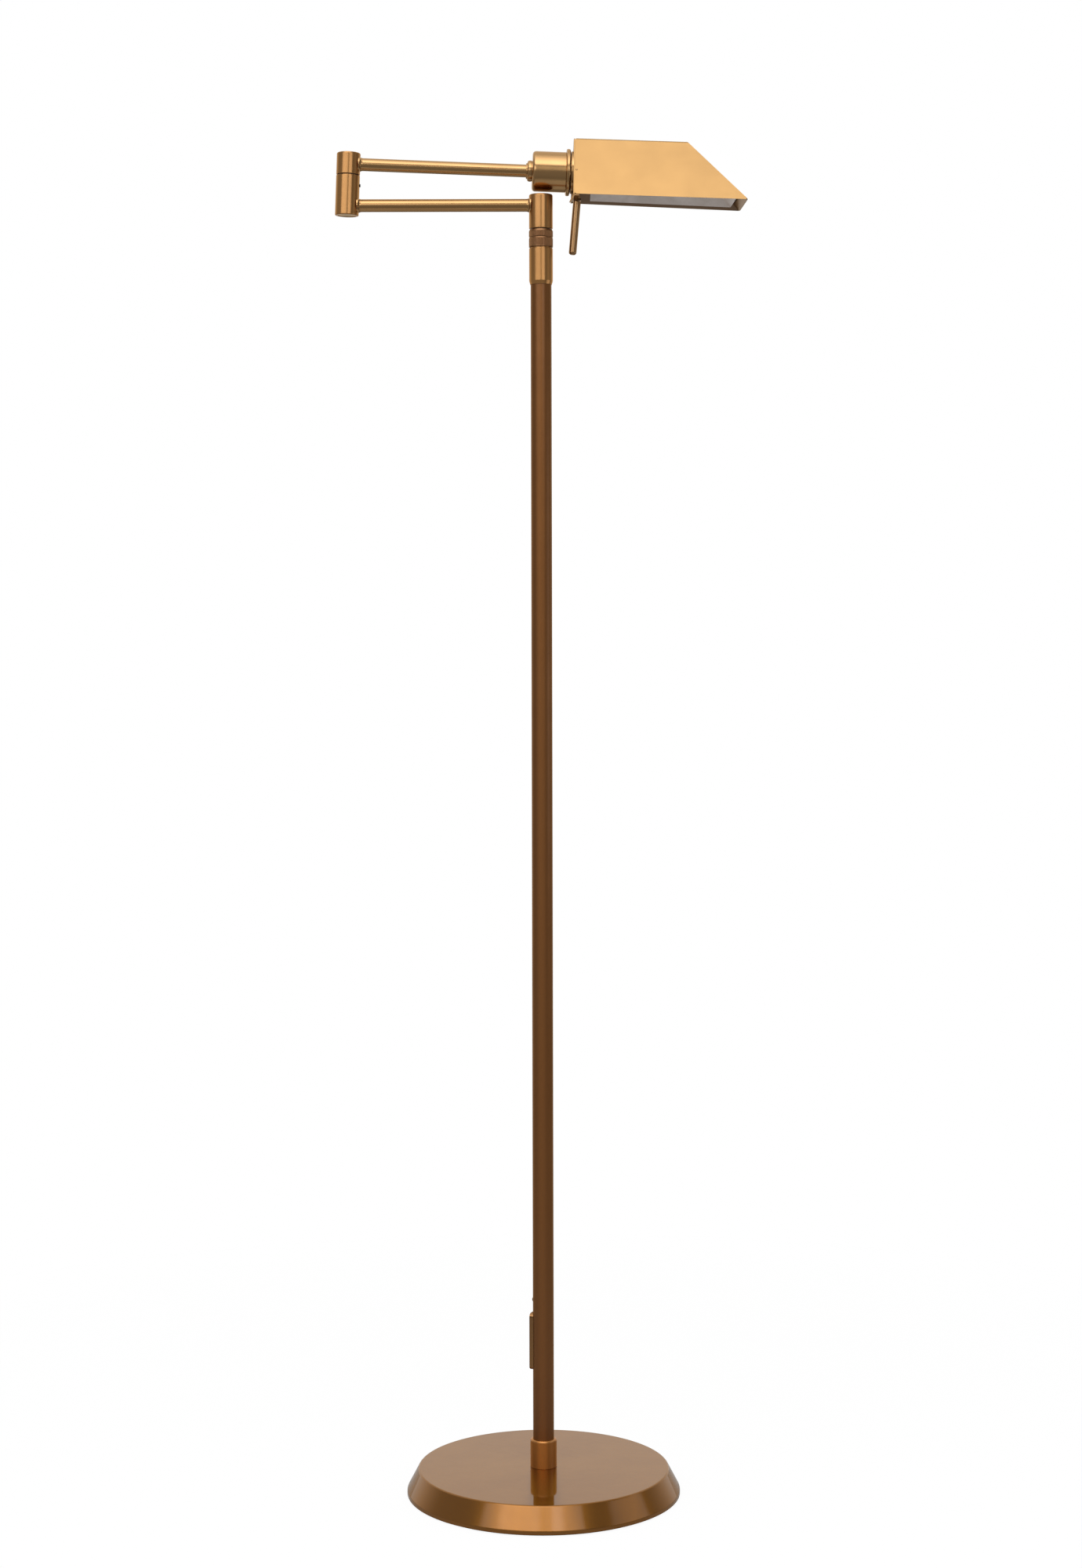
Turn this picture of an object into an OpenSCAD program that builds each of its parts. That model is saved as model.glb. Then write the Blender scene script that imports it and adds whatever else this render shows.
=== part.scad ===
// Swing arm floor lamp with a telescoping column, a folding two-part arm
// and a tent shade that turns about the arm.
// Origin: centre of the base on the floor. X runs along the arm, Z is up.

/* [Base] */
// Diameter of the base at its widest
base_d = 264; // [230:1:320]
// Horizontal run of the sloping rim
rim_run = 11; // [5:0.5:16]
// Height of the flat top of the base above the floor
base_h = 25; // [22:0.5:36]
// Thickness of the spun cover
cover_t = 1.2; // [0.8:0.1:1.8]
// Thickness of the felt pad under the base
pad_t = 2.5; // [1.5:0.5:4]
// Thickness of the cast plate inside the base
plate_t = 8; // [5:0.5:10]
// Width of the cast ring round the edge of the plate
ring_w = 12; // [8:1:20]
// Bore of the bush where the cord leaves the base
outlet_bore = 6.6; // [5:0.2:8]
// Outer diameter of the threaded tube that ties the base to the column
tie_d = 10; // [9:0.5:12]
// Bore of the threaded tube
tie_bore = 6.5; // [5:0.5:7]
// Height of the tie nut
tie_nut_h = 5; // [4:0.5:6]

/* [Column] */
// Diameter of the lower column tube
pole_d = 20.2; // [19.5:0.1:20.6]
// Wall of the lower column tube
pole_wall = 1.5; // [1.2:0.1:1.6]
// Height of the top of the ferrule above the floor
column_h = 1206; // [900:1:1400]
// Diameter of the collar at the foot of the column
collar_d = 25.5; // [23:0.5:32]
// Height of the collar at the foot of the column
collar_h = 27; // [15:1:45]
// Diameter of the ferrule at the top of the column
ferrule_d = 23; // [22:0.1:25]
// Length of the ferrule that shows
ferrule_l = 35; // [30:1:60]
// Length of the column tube held in the ferrule
ferrule_seat = 18; // [10:1:22]

/* [Twist lock] */
// Diameter of the knurled lock ring
lock_d = 23.3; // [22.8:0.1:26]
// Height of the lock ring
lock_h = 17.3; // [16.5:0.1:24]
// Depth of the groove round the lock ring
groove_depth = 0.5; // [0.4:0.1:1.1]
// Number of knurls round the lock ring
knurls = 60; // [24:2:72]
// Depth of the knurls
knurl_depth = 0.25; // [0.15:0.05:0.4]

/* [Mast] */
// Diameter of the sliding mast
mast_d = 15; // [14.4:0.1:15.4]
// Wall of the sliding mast
mast_wall = 1; // [0.8:0.1:1.2]
// Height adjustment
mast_travel = 250; // [100:5:400]
// Length of mast that stays in the column when it is fully raised
mast_hold = 22; // [20:1:60]
// Diameter of the swivel spigot
spigot_d = 12; // [11.4:0.1:12.6]
// Bore of the spigots that the lead passes through
lead_way = 7; // [6.8:0.1:7.6]

/* [Arms] */
// Diameter of the arm tubes
arm_d = 12.4; // [10.5:0.1:13]
// Wall of the arm tubes
arm_wall = 1; // [0.8:0.1:1.2]
// Distance from the column axis to the elbow axis
reach = 188; // [120:1:300]
// Outer diameter of the hub and the elbow barrels
barrel_d = 23; // [22:0.1:25]
// Height of the hub
hub_h = 33.3; // [32:0.1:45]
// Height of the lower arm's axis above the foot of the hub
hub_arm_z = 23; // [22.5:0.1:24]
// Length of the lower elbow barrel below the lower arm's axis
elbow_below = 9.7; // [9.2:0.1:14]
// Height of the elbow seam above the lower arm's axis
elbow_seam = 29.6; // [24:0.1:40]
// Height of the upper elbow barrel
elbow_top_h = 21.6; // [20.5:0.1:30]
// Height of the upper arm's axis above the elbow seam
upper_arm_z = 10.8; // [9.8:0.1:11]
// Lean of the elbow towards the column, in degrees
elbow_lean = 2; // [0:0.1:2.2]
// Swing of the upper arm away from the lower arm at rest, in degrees
rest_swing = 2; // [0:0.5:10]
// Diameter of the leads inside the arms
lead_d = 6; // [4:0.2:6.4]

/* [Lamp cup] */
// Distance from the elbow axis to the back of the lamp cup
cup_x = 178.4; // [150:0.2:260]
// Diameter of the lamp cup
cup_d = 39; // [38:0.2:42]
// Length of the lamp cup
cup_l = 32.4; // [30:0.2:45]
// Wall of the lamp cup
cup_wall = 1.2; // [0.8:0.1:1.6]
// Diameter of the bead ring in front of the cup
bead_d = 45.5; // [42:0.5:50]
// Width of the bead ring
bead_w = 4.7; // [3:0.1:5.4]
// Diameter of the pivot disc behind the shade
disc_d = 41; // [40:0.5:44]
// Thickness of the pivot disc
disc_t = 2.2; // [1.5:0.1:3]
// Diameter of the lampholder
nose_d = 25; // [24:0.5:26]

/* [Lamp] */
// Diameter of the tubular lamp
bulb_d = 25; // [18:0.5:26]
// Length of the glass in front of the lampholder
bulb_l = 62; // [45:1:90]

/* [Shade] */
// Thickness of the shade's sheet
sheet = 1; // [0.8:0.1:1.2]
// Height of the ridge above the arm axis
ridge_up = 33; // [28:0.2:40]
// Depth of the open edge below the arm axis
edge_down = 25; // [24:0.5:32]
// Length of the ridge
ridge_l = 110; // [95:1:150]
// Length of the open edge
edge_l = 168; // [150:1:200]
// Width of the open edge at the back
back_w = 61; // [55:0.5:66]
// Width of the open edge at the front
front_w = 73; // [60:0.5:90]
// Width of the flat along the ridge at the back
ridge_w = 10; // [8:0.5:16]
// Radius of the folds along the ridge
fold_r = 2.5; // [1:0.5:3]
// Radius of the front corners
corner_r = 4; // [2:0.5:6]
// Gap between the shade and its reflector
reflector_gap = 0.4; // [0.3:0.1:1]
// Thickness of the reflector
reflector_t = 0.6; // [0.4:0.1:0.8]

/* [Handle] */
// Diameter of the tilt handle
handle_d = 7.5; // [5:0.1:8]
// Length of the tilt handle below its bracket
handle_l = 53; // [30:1:90]
// Lean of the handle towards the column, in degrees
handle_lean = 3; // [0:0.5:3.5]

/* [Dimmer] */
// Height of the foot of the dimmer cover above the floor
dimmer_z = 119; // [80:1:300]
// Height of the dimmer cover
dimmer_h = 55; // [50:1:80]
// Width of the dimmer cover
dimmer_w = 12; // [11:0.5:13]
// How far the dimmer cover stands out from the column
dimmer_out = 2.2; // [2.2:0.1:3.5]
// Direction the dimmer faces, in degrees round the column
dimmer_turn = 160; // [0:5:355]
// Travel of the dimmer's slider
slider_travel = 20; // [10:1:26]

/* [Hidden] */
$fn = 96;
fit = 0.05;       // radial clearance of seated and running fits
air = 0.3;        // clearance between pieces that only pass each other
pole_r = pole_d / 2;
bore_r = pole_r - pole_wall;
mast_r = mast_d / 2;
spigot_r = spigot_d / 2;
barrel_r = barrel_d / 2;
arm_r = arm_d / 2;
lead_r = lead_d / 2;
way_r = lead_way / 2;

// heights in the base
top_z = base_h;
under_z = base_h - cover_t;
plate_z = under_z - plate_t;
ring_r = base_d / 2 - 3;
rim_z = 4.5;
skirt_z = 1.2;
washer_t = 1.4;
nut_af = 17;
tie_low = plate_z - washer_t - tie_nut_h - 1;
plug_h = 30;
tie_high = top_z + plug_h - 2;
outlet_z = pad_t + 8;
outlet_r = outlet_bore / 2 + 1.5;
outlet_flange = outlet_r + 1.4;

// heights along the column
ferrule_z = column_h - ferrule_l;
pole_top = ferrule_z + ferrule_seat;
thread_r = ferrule_d / 2 - 1.35;
thread_h = 11;
collet_r = thread_r - 0.8;
collet_z = column_h + 5;
collet_h = 10;
lock_z = column_h + 1;
lock_top = lock_z + lock_h;
lock_mouth = mast_r + 0.4;
groove_z = lock_z + lock_h / 2 + 0.8;

// heights of the mast at its lowest
mast_top = lock_top;
head_flange = 0.4;
washer_low = mast_top + head_flange;
washer_gap = 0.3;
hub_z = washer_low + washer_gap + fit;
arm_z = hub_z + hub_arm_z;
guide_h = 20;
mast_low = pole_top - mast_travel - mast_hold;
plug_l = 24;
spigot_top = arm_z - 7;
neck_h = 3.6;
neck_depth = 1;
neck_z = hub_z + 7;

// hub and elbow insides
chamber_r = 8;
cap_t = 2.8;
seat_end = chamber_r + fit;
set_r = 1.5;
elbow_neck = elbow_seam - 9.8;
elbow_pin_low = elbow_seam - 18.4;
elbow_pin_high = elbow_seam + 4.2;
seam_half = 0.3;
upper_z = elbow_seam + upper_arm_z;
elbow_top = elbow_seam + elbow_top_h;

// lamp cup and shade along the upper arm
cup_front = cup_x + cup_l;
bead_front = cup_front + bead_w;
skirt = 3;
shoulder_l = 6;   // length of the collar behind the cup
shoulder_ring = 1.1;
skirt_x = cup_front - skirt;
cup_in = cup_d / 2 - cup_wall;
nose_r = nose_d / 2;
sleeve_in = nose_r + 0.4;
sleeve_r = cup_in - 2.1;
disc_x = bead_front + air;
shade_x = disc_x + disc_t;
back_t = 1;
back_front = shade_x + back_t;
wave_t = 0.8;
wave_x = skirt_x - air - wave_t;
clip_t = 1.1;
clip_x = wave_x - air - clip_t;
clip_depth = 0.7;
nut_t = 4;
holder_x = cup_x + cup_wall + nut_t + 0.4;
holder_seat = 5;
holder_front = back_front + 8;
holder_depth = 24;
holder_bore = 7.2;

// planes of the shade
shade_tip = shade_x + edge_l;
ridge_end = shade_x + ridge_l;
wall_slope = atan((back_w - ridge_w) / 2 / (ridge_up + edge_down));
flare = atan((front_w - back_w) / 2 / edge_l);
front_slope = atan((ridge_up + edge_down) / (shade_tip - ridge_end));
lip_l = 6;
reflector_x = shade_x + 19;
reflector_up = 2.7;
reflector_set = 4;
stud_r = 1.5;
stud_l = 6.5;
stud_at = [32, 82];

// handle bracket
bracket_t = 1.2;
bracket_w = 14;
bracket_shelf = 2;
bracket_drop = 0.2;
bracket_reach = 7.6;
strip_t = 1.4;
strip_w = 4.5;
tab_w = 5;
tab_back = 4.6;
tab_drop = 8;
handle_top = bracket_drop + bracket_shelf + 0.35;
rivets_at = [-4.5, 4.5];
handle_nut_af = 5;
handle_x = back_front + bracket_t + fit + 0.4 + handle_nut_af / 2;
neck_r = 1.5;
rivet_r = 1.2;
rivet_head = 1.8;
rivet_z = -sqrt(pow(disc_d / 2 + rivet_head + 0.2, 2) - pow(rivets_at[1], 2));
bracket_rise = edge_down + bracket_drop + bracket_shelf + rivet_z + 2 * rivet_head;
disc_rivets_at = [90, -62, -118];
disc_rivet_r = (disc_d / 2 + sleeve_in) / 2;
lead_turn = 5.2;
lead_drop = arm_r - arm_wall - lead_r - air;
slider_foot_w = 6.4;

// dimmer, measured outwards from the column axis
dimmer_face = pole_r + dimmer_out;
cover_in = pole_r + 0.4;
window_w = 9;
window_low = dimmer_z + 5;
window_high = dimmer_z + dimmer_h - 5;
slider_l = 8;
slider_z = dimmer_z + dimmer_h / 2 - slider_travel / 2;
screw_z = dimmer_z + dimmer_h + 12;

// Points of an arc of radius r that rounds the corner b between a and c
function unit(v) = v / norm(v);
function corner(a, b, c, r, steps) =
  let (u = unit(a - b), v = unit(c - b), half = acos(u * v) / 2)
  let (centre = b + unit(u + v) * r / sin(half))
  let (p = b + u * r / tan(half) - centre, q = b + v * r / tan(half) - centre)
  let (from = atan2(p[1], p[0]), turn = atan2(q[1], q[0]) - from)
  let (sweep = turn > 180 ? turn - 360 : turn < -180 ? turn + 360 : turn)
  [for (i = [0:steps]) centre + r * [cos(from + sweep * i / steps), sin(from + sweep * i / steps)]];

// Outline from [x, y, radius] corners; a radius of 0 keeps the corner sharp
function rounded(c, steps = 5) = let (n = len(c))
  [for (i = [0:n - 1])
    let (a = c[(i + n - 1) % n], b = c[i], d = c[(i + 1) % n])
    each b[2] == 0 ? [[b[0], b[1]]] : corner([a[0], a[1]], [b[0], b[1]], [d[0], d[1]], b[2], steps)];

// Ring or disc turned from a profile of [radius, height, corner radius] points
module turned(profile, steps = 5) rotate_extrude() polygon(rounded(profile, steps));

// The same, with its axis along X
module turned_x(profile, steps = 5) rotate([0, 90, 0]) turned(profile, steps);

// Tube between two heights
module tube(r, inner, low, high) translate([0, 0, low]) difference() {
  cylinder(r = r, h = high - low);
  translate([0, 0, -1]) cylinder(r = inner, h = high - low + 2);
}

// Tube or rod along X
module rod_x(r, from, to) translate([from, 0, 0]) rotate([0, 90, 0]) cylinder(r = r, h = to - from);
module tube_x(r, inner, from, to) rotate([0, 90, 0]) tube(r, inner, from, to);

// Frames of the arm's joints
module elbow_frame() translate([-reach, 0, arm_z]) rotate([0, elbow_lean, 0]) children();
module upper_frame() elbow_frame() translate([0, 0, upper_z]) rotate([0, 0, rest_swing]) children();
module dimmer_frame() rotate([0, 0, dimmer_turn]) children();

// Base

// Radius of the outside of the cover's slope at a height
function slope_r(z) = base_d / 2 - (z - rim_z) * rim_run / (base_h - rim_z);

module base_pad() color([0.12, 0.1, 0.09])
  turned([[0, 0, 0], [base_d / 2 - cover_t - 1.2, 0, 0.6],
    [base_d / 2 - cover_t - 1.2, pad_t, 0.6], [0, pad_t, 0]], 3);

// Space that the cover fills and encloses, grown by a clearance
module base_outline(grow) turned([[0, top_z + grow, 0], [slope_r(top_z) + grow, top_z + grow, 2.2],
  [base_d / 2 + grow, rim_z, 3], [base_d / 2 + grow, 0, 0], [0, 0, 0]], 6);

module base_cover() color([0.62, 0.4, 0.16]) difference() {
  turned([[tie_d / 2 + air, top_z, 0], [slope_r(top_z), top_z, 2.2], [base_d / 2, rim_z, 3],
    [base_d / 2, skirt_z, 0], [base_d / 2 - cover_t, skirt_z, 0],
    [base_d / 2 - cover_t, rim_z - 0.3, 2],
    [slope_r(top_z) - cover_t * 0.9, under_z, 1.2], [tie_d / 2 + air, under_z, 0]], 6);
  translate([0, 0, outlet_z]) rotate([-90, 0, 0]) cylinder(r = outlet_r + fit, h = base_d);
}

module base_weight() color([0.24, 0.24, 0.25]) difference() {
  turned([[tie_d / 2 + air, plate_z, 0], [ring_r - ring_w, plate_z, 0], [ring_r - ring_w, pad_t, 0],
    [ring_r, pad_t, 0], [ring_r, rim_z + 1, 0], [slope_r(top_z) - 2.4, under_z, 0],
    [tie_d / 2 + air, under_z, 0]]);
  translate([-outlet_r - 1, ring_r - ring_w - 1, pad_t - 1])
    cube([2 * outlet_r + 2, ring_w + 2, outlet_z + outlet_r + 2 - pad_t]);
}

module tie_tube() color([0.7, 0.7, 0.68]) tube(tie_d / 2, tie_bore / 2, tie_low, tie_high);

module tie_washer() color([0.7, 0.7, 0.68])
  tube(tie_d / 2 + 6, tie_d / 2 + air, plate_z - washer_t, plate_z);

module tie_nut() color([0.7, 0.7, 0.68]) difference() {
  translate([0, 0, plate_z - washer_t - tie_nut_h])
    cylinder(r = nut_af / sqrt(3), h = tie_nut_h, $fn = 6);
  cylinder(r = tie_d / 2 + fit, h = base_h);
}

module cord_bush() color([0.08, 0.08, 0.08]) difference() {
  translate([0, 0, outlet_z]) rotate([-90, 0, 0]) {
    translate([0, 0, slope_r(outlet_z) - 9]) cylinder(r = outlet_r, h = 10);
    difference() {
      translate([0, 0, slope_r(outlet_z) - 5])
        cylinder(r = outlet_flange, h = 5 + base_d / 2 + 1.2 - slope_r(outlet_z));
      rotate([90, 0, 0]) translate([0, 0, -outlet_z]) base_outline(fit);
    }
  }
  translate([0, 0, outlet_z]) rotate([-90, 0, 0]) cylinder(r = outlet_bore / 2, h = base_d);
}

module foot_plug() color([0.6, 0.6, 0.58]) difference() {
  tube(bore_r - fit, tie_d / 2 + fit, top_z, top_z + plug_h);
  translate([0, 0, top_z + plug_h - 1]) cylinder(r1 = tie_d / 2, r2 = tie_d / 2 + 2, h = 2);
}

module base_collar() color([0.62, 0.4, 0.16])
  turned([[pole_r + fit, top_z, 0], [collar_d / 2, top_z, 0.4],
    [collar_d / 2, top_z + collar_h, 1.8], [pole_r + fit, top_z + collar_h, 0]], 6);

// Column

module pole_tube() color([0.4, 0.25, 0.1]) difference() {
  tube(pole_r, bore_r, top_z, pole_top);
  dimmer_frame() {
    translate([bore_r / 2, -window_w / 2, window_low])
      cube([pole_r, window_w, window_high - window_low]);
    translate([0, 0, screw_z]) rotate([0, 90, 0]) cylinder(r = 1.6, h = pole_d);
  }
}

module pole_ferrule() color([0.55, 0.36, 0.15])
  turned([[pole_r + fit, ferrule_z, 0], [pole_r + 0.5, ferrule_z, 0],
    [ferrule_d / 2, ferrule_z + 3.4, 0.6], [ferrule_d / 2, column_h, 0.4],
    [thread_r, column_h, 0], [thread_r, column_h + thread_h, 0.4],
    [collet_r, column_h + thread_h, 0], [collet_r, collet_z - 0.3, 0],
    [mast_r + fit, collet_z - 0.3, 0], [mast_r + fit, pole_top, 0], [pole_r + fit, pole_top, 0]], 4);

// Nylon collet with four slots and a cone that the lock ring squeezes
module lock_collet() color([0.85, 0.84, 0.8]) difference() {
  turned([[mast_r + fit, collet_z, 0], [collet_r - fit, collet_z, 0],
    [collet_r - fit, collet_z + 5, 0], [mast_r + 0.75, collet_z + collet_h, 0],
    [mast_r + fit, collet_z + collet_h, 0]]);
  for (a = [45, 135]) rotate([0, 0, a]) translate([-mast_d, -0.5, collet_z + 2.5])
    cube([2 * mast_d, 1, collet_h]);
}

// Lock ring: threaded below, coned inside above, a rounded groove and fine knurls outside
module lock_ring() color([0.36, 0.22, 0.09]) difference() {
  turned([[thread_r + fit, lock_z, 0], [lock_d / 2, lock_z, 0.5],
    [lock_d / 2, groove_z - 2 * groove_depth, 0.4], [lock_d / 2 - groove_depth, groove_z, 0.8],
    [lock_d / 2, groove_z + 2 * groove_depth, 0.4], [lock_d / 2, lock_top - 1.6, 0.8],
    [lock_d / 2 - 0.8, lock_top, 0.3], [lock_mouth, lock_top, 0],
    [lock_mouth, collet_z + collet_h + air, 0], [mast_r + 1.5, collet_z + collet_h + air, 0],
    [thread_r + fit, column_h + thread_h + 0.8, 0]], 3);
  for (i = [0:knurls - 1]) rotate([0, 0, i * 360 / knurls])
    translate([lock_d / 2 - knurl_depth, 0, lock_z + 1.2]) rotate([0, 0, -45])
      cube([1, 1, lock_h - 3.2]);
}

// Dimmer on the column

module dimmer_cover() color([0.5, 0.33, 0.14]) dimmer_frame() difference() {
  intersection() {
    translate([0, dimmer_w / 2, 0]) rotate([90, 0, 0]) linear_extrude(dimmer_w)
      polygon(rounded([[bore_r - 1, dimmer_z, 0], [dimmer_face, dimmer_z, 1.6],
        [dimmer_face, dimmer_z + dimmer_h, 2.1], [bore_r - 1, dimmer_z + dimmer_h, 0]], 5));
    rotate([90, 0, 90]) linear_extrude(pole_d)
      polygon(rounded([[-dimmer_w / 2, dimmer_z, 2.5], [dimmer_w / 2, dimmer_z, 2.5],
        [dimmer_w / 2, dimmer_z + dimmer_h, 5], [-dimmer_w / 2, dimmer_z + dimmer_h, 5]], 5));
  }
  cylinder(r = pole_r + fit, h = column_h);
  translate([bore_r, -slider_foot_w / 2 - air, slider_z - slider_l / 2 - 2])
    cube([cover_in + 0.3 - bore_r, slider_foot_w + 2 * air, slider_travel + slider_l + 4]);
  translate([pole_r, -2.2, slider_z - slider_l / 2 - air])
    cube([10, 4.4, slider_travel + slider_l + 2 * air]);
}

// Body of the dimmer behind the window, with a tongue up to its screw
module dimmer_module() color([0.1, 0.1, 0.1]) dimmer_frame() difference() {
  union() {
    translate([-1, -4, window_low + 1]) cube([7.4, 8, window_high - window_low - 2]);
    translate([3.4, -3, window_low + 10]) cube([3, 6, screw_z + 4 - window_low - 10]);
    translate([3.4, 0, screw_z]) rotate([0, 90, 0]) cylinder(r = 2.6, h = bore_r - 3.9);
    intersection() {
      cylinder(r = pole_r - 0.1, h = column_h);
      for (z = [window_low + 0.3, window_high - 3.3]) translate([5, -window_w / 2 + air, z])
        cube([pole_r - 5.1, window_w - 2 * air, 3]);
    }
  }
  translate([5, -1.2, slider_z - 3]) cube([4, 2.4, slider_travel + 6]);
  translate([2, 0, screw_z]) rotate([0, 90, 0]) cylinder(r = 1.25 + fit, h = pole_d);
}

module dimmer_screw() color([0.5, 0.33, 0.14]) dimmer_frame() translate([0, 0, screw_z])
  rotate([0, 90, 0]) difference() {
    union() {
      translate([0, 0, 4]) cylinder(r = 1.25, h = pole_r - 4 + 0.2);
      intersection() {
        translate([0, 0, pole_r + 0.1]) cylinder(r = 2.4, h = 2);
        translate([0, 0, pole_r + 1.2 - 3.2]) sphere(r = 3.2);
      }
    }
    translate([-3, -0.3, pole_r + 0.7]) cube([6, 0.6, 2]);
  }

module dimmer_slider() color([0.07, 0.07, 0.07]) dimmer_frame() translate([0, 0, slider_z])
  difference() {
    union() {
      translate([5.8, -0.9, -2]) cube([pole_r - 5.5, 1.8, 4]);
      translate([9.2, -slider_foot_w / 2, -slider_l / 2 - 1])
        cube([cover_in - 9.2, slider_foot_w, slider_l + 2]);
      translate([9.2, -1.9, -slider_l / 2]) cube([dimmer_face + 0.9 - 9.2, 3.8, slider_l]);
    }
    for (z = [-2.4:1.6:2.4]) translate([dimmer_face + 0.9, 0, z]) rotate([0, 45, 0])
      cube([0.6, 6, 0.6], center = true);
  }

// Mast

module mast_tube() color([0.55, 0.36, 0.15]) tube(mast_r, mast_r - mast_wall, mast_low, mast_top);

// Nylon guide at the foot of the mast, running in the column tube
module mast_guide() color([0.85, 0.84, 0.8])
  turned([[mast_r + fit, mast_low, 0], [mast_r - mast_wall - 0.5, mast_low, 0],
    [mast_r - mast_wall - 0.5, mast_low - 2, 0], [bore_r - fit, mast_low - 2, 0.4],
    [bore_r - fit, mast_low + guide_h - 2, 0.4], [mast_r + fit, mast_low + guide_h - 2, 0]], 3);

// Plug in the mast with the spigot that the hub turns on, necked for its set screw
module mast_head() color([0.72, 0.62, 0.42])
  turned([[way_r, mast_top - plug_l, 0], [mast_r - mast_wall - fit, mast_top - plug_l, 0.5],
    [mast_r - mast_wall - fit, mast_top, 0], [mast_r, mast_top, 0], [mast_r, washer_low, 0],
    [spigot_r, washer_low, 0], [spigot_r, neck_z - neck_h / 2, 0],
    [spigot_r - neck_depth, neck_z - neck_h / 2, 0], [spigot_r - neck_depth, neck_z + neck_h / 2, 0],
    [spigot_r, neck_z + neck_h / 2, 0], [spigot_r, spigot_top, 0.6], [way_r, spigot_top, 0]], 3);

module hub_washer() color([0.85, 0.84, 0.8])
  tube(mast_r, spigot_r + fit, washer_low, washer_low + washer_gap);

module mast_lead() color([0.12, 0.1, 0.08]) translate([0, 0, mast_low - 6])
  cylinder(r = lead_r, h = arm_z - lead_drop - lead_turn - 0.6 - mast_low + 6);

// Lower arm

module hub() color([0.62, 0.41, 0.17]) difference() {
  turned([[spigot_r + fit, hub_z, 0], [barrel_r, hub_z, 0.5], [barrel_r, hub_z + hub_h, 1.4],
    [chamber_r + 0.5, hub_z + hub_h, 0], [chamber_r + 0.5, hub_z + hub_h - cap_t, 0],
    [chamber_r, hub_z + hub_h - cap_t, 0], [chamber_r, spigot_top + 0.3, 0],
    [spigot_r + fit, spigot_top + 0.3, 0]], 5);
  translate([0, 0, arm_z]) rod_x(arm_r + fit, -barrel_d, -1);
  translate([0, 0, neck_z]) rotate([-90, 0, 0]) cylinder(r = set_r + fit, h = barrel_d);
}

module hub_cap() color([0.62, 0.41, 0.17])
  turned([[0, hub_z + hub_h - cap_t + fit, 0], [chamber_r + 0.5 - fit, hub_z + hub_h - cap_t + fit, 0],
    [chamber_r + 0.5 - fit, hub_z + hub_h - 0.3, 0.4], [0, hub_z + hub_h, 0]], 4);

// Grub screw along X, with its socket at the far end
module grub(from, to) difference() {
  rod_x(set_r, from, to);
  translate([to - 1.4, 0, 0]) rotate([0, 90, 0]) cylinder(r = 0.85, h = 3, $fn = 6);
}

module hub_set_screw() color([0.12, 0.11, 0.1])
  translate([0, 0, neck_z]) rotate([0, 0, 90]) grub(spigot_r - neck_depth + air, barrel_r - 0.2);

// Fillet of braze round an arm tube, along X, against a barrel on the Z axis
module braze(from, side) rotate([0, 90, 0]) rotate_extrude() polygon(
  [[arm_r - 0.3, side * from], [arm_r + 1.9, side * from], [arm_r + 1.9, side * (from + 1.2)],
    [arm_r + 0.9, side * (from + 1.8)], [arm_r + 0.3, side * (from + 2.9)],
    [arm_r, side * (from + 4.2)], [arm_r - 0.3, side * (from + 4.2)]]);

module lower_arm_tube() color([0.62, 0.41, 0.17]) translate([0, 0, arm_z]) difference() {
  union() {
    rod_x(arm_r, -reach + seat_end, -seat_end);
    difference() {
      braze(barrel_r - 2, -1);
      translate([0, 0, -hub_h]) cylinder(r = barrel_r + 0.02, h = 2 * hub_h);
    }
    translate([-reach, 0, 0]) difference() {
      braze(barrel_r - 2, 1);
      rotate([0, elbow_lean, 0]) translate([0, 0, -hub_h]) cylinder(r = barrel_r + 0.02, h = 2 * hub_h);
    }
  }
  rod_x(arm_r - arm_wall, -reach, 0);
}

// Leads lie on the floor of the arm tubes and turn into the hollow spigots at their ends
module lower_arm_lead() color([0.12, 0.1, 0.08]) translate([0, 0, arm_z - lead_drop]) {
  rod_x(lead_r, -reach + lead_turn, -lead_turn);
  lead_bend();
  translate([-reach, 0, 0]) {
    rotate([0, 180, 0]) lead_bend();
    translate([0, 0, lead_turn - 0.01])
      cylinder(r = lead_r, h = elbow_pin_low + lead_drop - lead_turn - 0.4);
  }
}

// Quarter bend of the lead, from the side of -X to straight down on the axis
module lead_bend() translate([-lead_turn, 0, -lead_turn]) rotate([90, 0, 0])
  rotate_extrude(angle = 90) translate([lead_turn, 0]) circle(r = lead_r);

module lower_elbow_barrel() color([0.62, 0.41, 0.17]) difference() {
  elbow_frame() turned([[chamber_r + 0.7, -elbow_below, 0], [barrel_r, -elbow_below, 0.8],
    [barrel_r, elbow_seam - seam_half - fit, 0.5], [spigot_r + fit, elbow_seam - seam_half - fit, 0],
    [spigot_r + fit, elbow_pin_low - 0.3, 0], [chamber_r, elbow_pin_low - 0.3, 0],
    [chamber_r, -elbow_below + 2, 0], [chamber_r + 0.7, -elbow_below + 2, 0]], 5);
  translate([0, 0, arm_z]) rod_x(arm_r + fit, -reach + 1, -reach + barrel_d);
  elbow_frame() translate([0, 0, elbow_neck]) rod_x(set_r + fit, 1, barrel_d);
}

module elbow_bottom_cap() color([0.8, 0.66, 0.42]) elbow_frame()
  turned([[0, -elbow_below + 0.3, 0], [chamber_r + 0.7 - fit, -elbow_below + 0.3, 0.3],
    [chamber_r + 0.7 - fit, -elbow_below + 2 - fit, 0], [0, -elbow_below + 2 - fit, 0]], 3);

module elbow_set_screw() color([0.12, 0.11, 0.1]) elbow_frame() translate([0, 0, elbow_neck])
  grub(spigot_r - neck_depth + air, barrel_r + 0.8);

// Upper arm

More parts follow.
